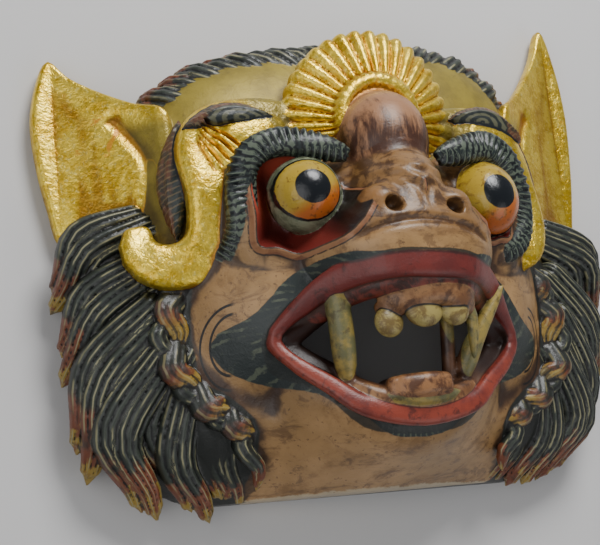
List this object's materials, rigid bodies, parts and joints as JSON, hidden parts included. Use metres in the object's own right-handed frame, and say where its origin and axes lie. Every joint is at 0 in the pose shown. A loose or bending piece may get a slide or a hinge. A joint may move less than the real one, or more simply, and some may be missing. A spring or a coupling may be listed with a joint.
{
  "type": "barong mask",
  "caption": "Carved wooden barong mask with bulging eyes, leaf ears, fluted fan comb, open jaws with tusks and teeth, curled mane locks and a hollow back.",
  "frame": {"origin": "centre of the mask's footprint, on the plane of the flat back rim", "axes": "+Z out of the face, +Y towards the crown, +X to the right as seen from in front of the face"},
  "size_m": [0.3282, 0.2708, 0.1181],
  "materials": {
    "mask": "satin paint and gold leaf, rubbed with dark brown; bare wood at the back"
  },
  "bodies": {
    "root": {"mask": "mask"}
  },
  "joints": []
}
